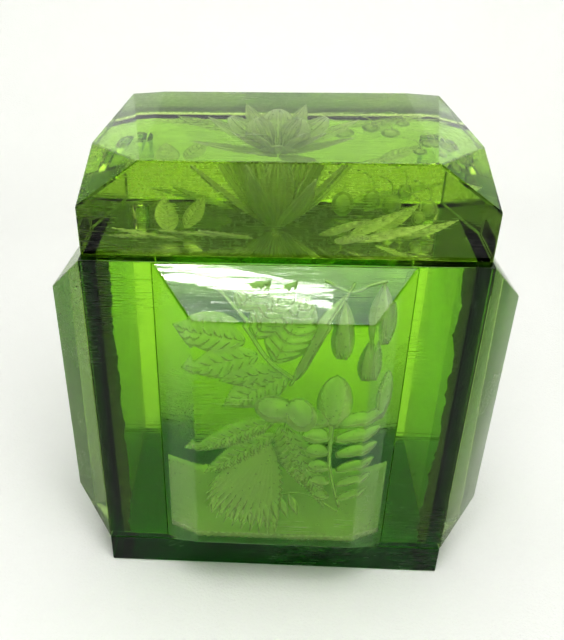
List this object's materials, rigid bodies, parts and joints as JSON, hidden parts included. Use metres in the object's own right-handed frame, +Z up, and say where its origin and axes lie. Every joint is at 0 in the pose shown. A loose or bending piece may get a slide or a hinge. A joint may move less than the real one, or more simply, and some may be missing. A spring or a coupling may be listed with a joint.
{
  "type": "powder jar",
  "caption": "Rectangular clear green acrylic powder jar with a bevelled carved front block, ridged side wings and a thick faceted lift-off lid on two pegs.",
  "frame": {"origin": "on the table, under the middle of the bounding box", "axes": "+Z up, -Y to the front with the carved block, +X to the right seen from the front"},
  "size_m": [0.1248, 0.0705, 0.1346],
  "materials": {
    "jar_acrylic": "polished clear green cast acrylic",
    "carved_acrylic": "polished clear green cast acrylic, carved from behind",
    "wing_acrylic": "polished clear green cast acrylic",
    "lid_acrylic": "polished clear green cast acrylic, carved from below",
    "peg_acrylic": "green acrylic rod"
  },
  "bodies": {
    "jar": {"base_plate": "jar_acrylic", "front_wall": "jar_acrylic", "back_wall": "jar_acrylic", "left_wall": "jar_acrylic", "right_wall": "jar_acrylic", "front_block": "carved_acrylic", "left_wing": "wing_acrylic", "right_wing": "wing_acrylic"},
    "lid": {"lid_block": "lid_acrylic", "left_peg": "peg_acrylic", "right_peg": "peg_acrylic"}
  },
  "joints": [
    {"name": "lid_lift", "type": "slide", "parent": "jar", "child": "lid", "axis": [0, 0, 1], "range_m": [0, 0.08]}
  ]
}
